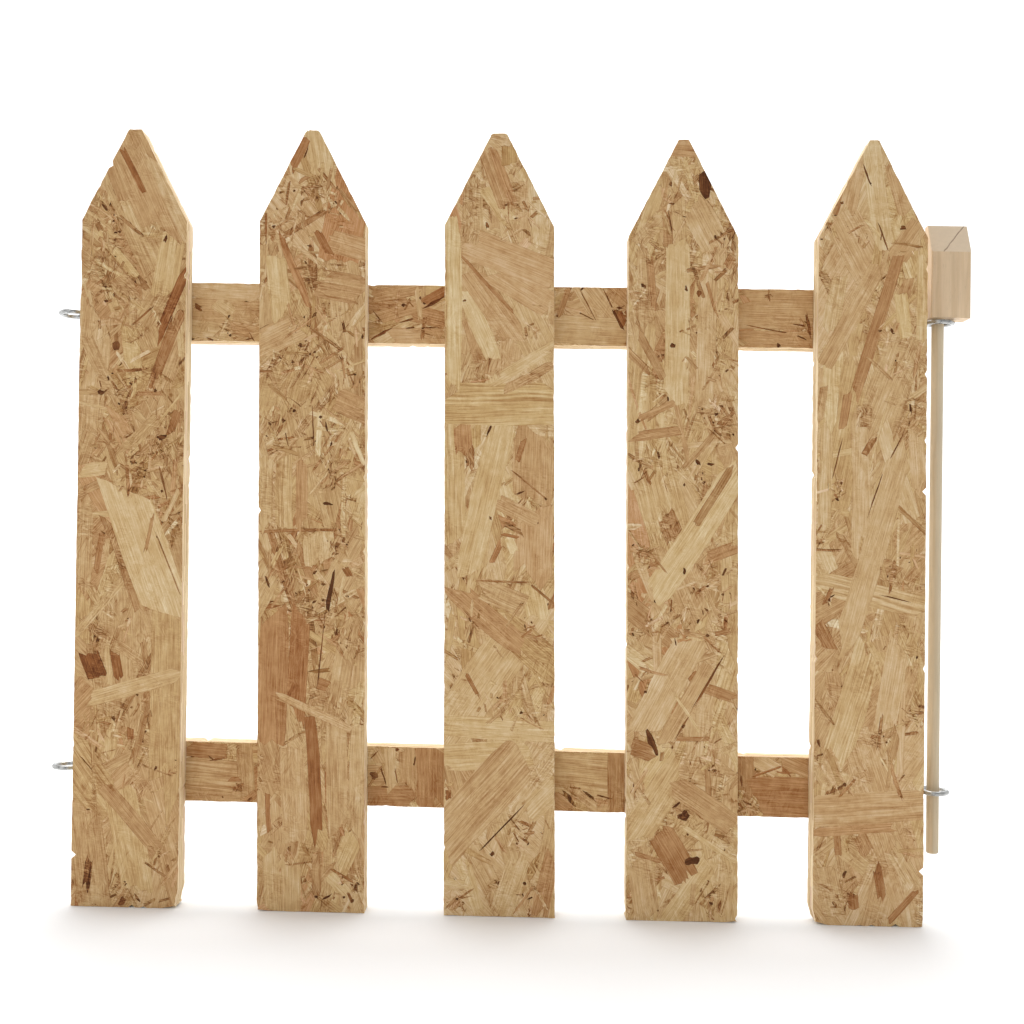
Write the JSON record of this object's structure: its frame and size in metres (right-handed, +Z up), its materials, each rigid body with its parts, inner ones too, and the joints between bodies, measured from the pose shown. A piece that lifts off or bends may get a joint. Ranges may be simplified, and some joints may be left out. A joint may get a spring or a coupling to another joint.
{
  "type": "garden gate",
  "caption": "Small picket garden gate of strand board on two rails, hung by screw eyes on one side and latched by a wooden drop pin through the eyes on the other.",
  "frame": {"origin": "centre of the ring of the lower left screw eye, on the rails' middle plane", "axes": "+X along the gate from the hanging side to the drop pin, +Y towards the back where the rails are, +Z up"},
  "size_m": [0.4795, 0.0257, 0.401],
  "materials": {
    "strand_board": "raw oriented strand board, flat pale and tan strands with brown bark streaks, matte",
    "strand_board_rail": "raw oriented strand board, a little darker and redder, matte",
    "zinc_wire": "bright zinc-plated bent wire",
    "zinc_screw": "zinc-plated countersunk wood screw",
    "dowel_wood": "smooth unfinished hardwood dowel",
    "pine_block": "planed unfinished pine with straight grain"
  },
  "bodies": {
    "panel": {"picket_1": "strand_board", "picket_2": "strand_board", "picket_3": "strand_board", "picket_4": "strand_board", "picket_5": "strand_board", "top_rail": "strand_board_rail", "bottom_rail": "strand_board_rail", "left_lower_eye": "zinc_wire", "left_upper_eye": "zinc_wire", "right_lower_eye": "zinc_wire", "right_upper_eye": "zinc_wire", "picket_1_top_screws": "zinc_screw", "picket_1_bottom_screws": "zinc_screw", "picket_2_top_screws": "zinc_screw", "picket_2_bottom_screws": "zinc_screw", "picket_3_top_screws": "zinc_screw", "picket_3_bottom_screws": "zinc_screw", "picket_4_top_screws": "zinc_screw", "picket_4_bottom_screws": "zinc_screw", "picket_5_top_screws": "zinc_screw", "picket_5_bottom_screws": "zinc_screw"},
    "pin_rod": {"pin_rod": "dowel_wood"},
    "pin_head": {"pin_head": "pine_block"}
  },
  "joints": [
    {"name": "pin_lift", "type": "slide", "parent": "panel", "child": "pin_rod", "axis": [0, 0, 1], "range_m": [0, 0.285]},
    {"name": "pin_turn", "type": "hinge", "parent": "pin_rod", "child": "pin_head", "pos_m": [0.4527, 0, 0.2675], "axis": [0, 0, 1], "range_deg": [-90, 90]}
  ]
}
